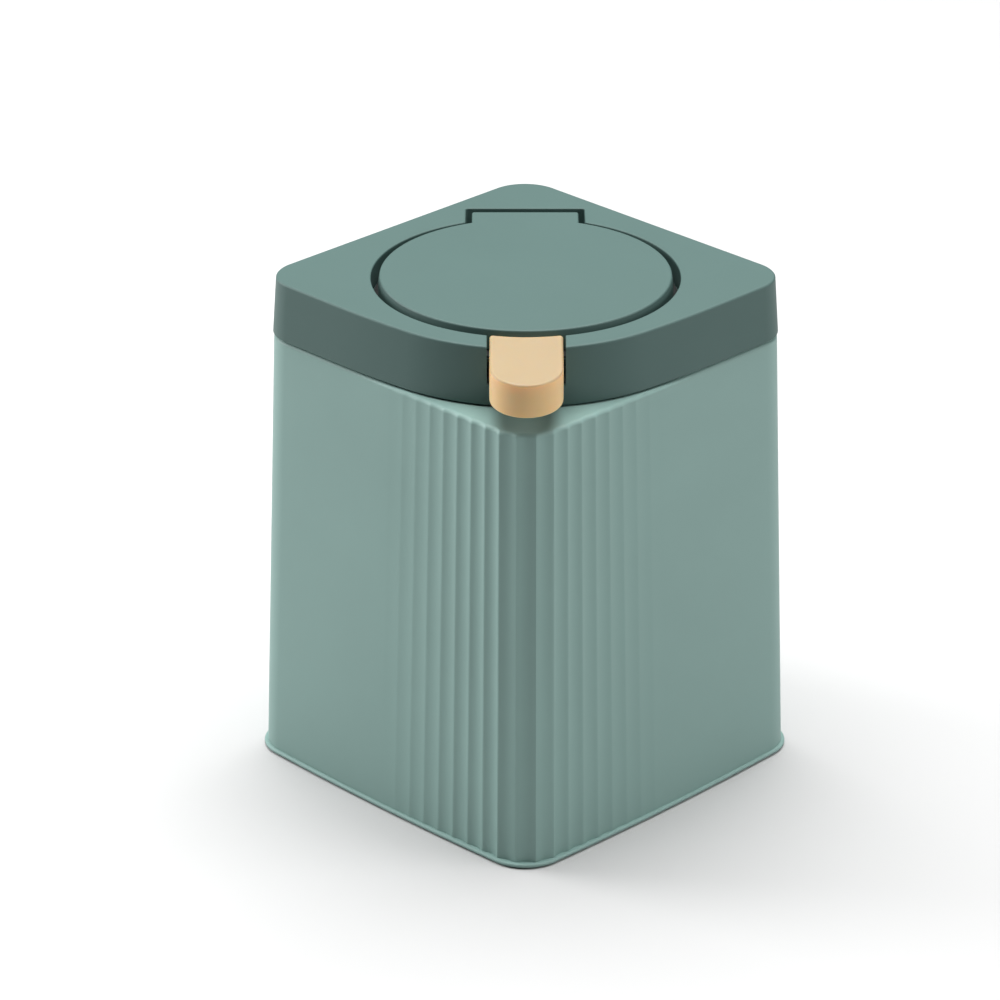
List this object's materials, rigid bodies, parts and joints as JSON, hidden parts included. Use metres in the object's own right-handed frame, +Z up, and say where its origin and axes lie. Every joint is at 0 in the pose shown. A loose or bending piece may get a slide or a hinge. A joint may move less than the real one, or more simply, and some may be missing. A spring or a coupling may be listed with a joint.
{
  "type": "push top countertop bin",
  "caption": "Square countertop bin with a fluted front corner, a round spring-open flap in its lid and a wood-coloured push button that overhangs the corner ledge.",
  "frame": {"origin": "middle of the base, on the surface that the foot pads stand on", "axes": "+Z up; +X and +Y square to the flat sides, with the push button at the +X -Y corner and the flap's hinge towards the -X +Y corner"},
  "size_m": [0.165, 0.165, 0.2096],
  "materials": {
    "body_green": "fine matte moulded plastic, sage green",
    "lid_green": "fine matte moulded plastic, darker green",
    "beech": "smooth satin plastic in the colour of beech wood",
    "dark_plastic": "plain moulded plastic",
    "bucket_grey": "plain moulded plastic, pale grey green",
    "soft_grey": "soft matte rubber",
    "steel": "plain bright steel"
  },
  "bodies": {
    "body": {"body_shell": "body_green", "base_plate": "body_green", "base_screws": "steel", "foot_pad_front": "soft_grey", "foot_pad_back": "soft_grey", "foot_pad_left": "soft_grey", "foot_pad_right": "soft_grey"},
    "bucket": {"inner_bucket": "bucket_grey"},
    "lid": {"lid_frame": "lid_green", "lid_liner": "dark_plastic", "lid_screws": "steel", "flap_seal": "soft_grey", "hinge_pin": "steel", "hinge_spring": "steel", "button_pin": "steel", "button_spring": "steel"},
    "flap": {"flap_panel": "lid_green", "flap_liner": "dark_plastic", "flap_screws": "steel"},
    "button": {"push_button": "beech", "latch_lever": "dark_plastic"}
  },
  "joints": [
    {"name": "bucket_lift", "type": "slide", "parent": "body", "child": "bucket", "axis": [0, 0, 1], "range_m": [0, 0.19]},
    {"name": "lid_lift", "type": "slide", "parent": "bucket", "child": "lid", "axis": [0, 0, 1], "range_m": [0, 0.06]},
    {"name": "flap_open", "type": "hinge", "parent": "lid", "child": "flap", "pos_m": [-0.04278, 0.04278, 0.2037], "axis": [-0.7071, -0.7071, 0], "range_deg": [0, 85], "deforming": ["hinge_spring"]},
    {"name": "button_press", "type": "hinge", "parent": "lid", "child": "button", "pos_m": [0.04702, -0.04702, 0.191], "axis": [0.7071, 0.7071, 0], "range_deg": [0, 5.5], "stiffness_Nm_per_rad": 0.4, "springref_deg": -5.73, "deforming": ["button_spring"]}
  ]
}
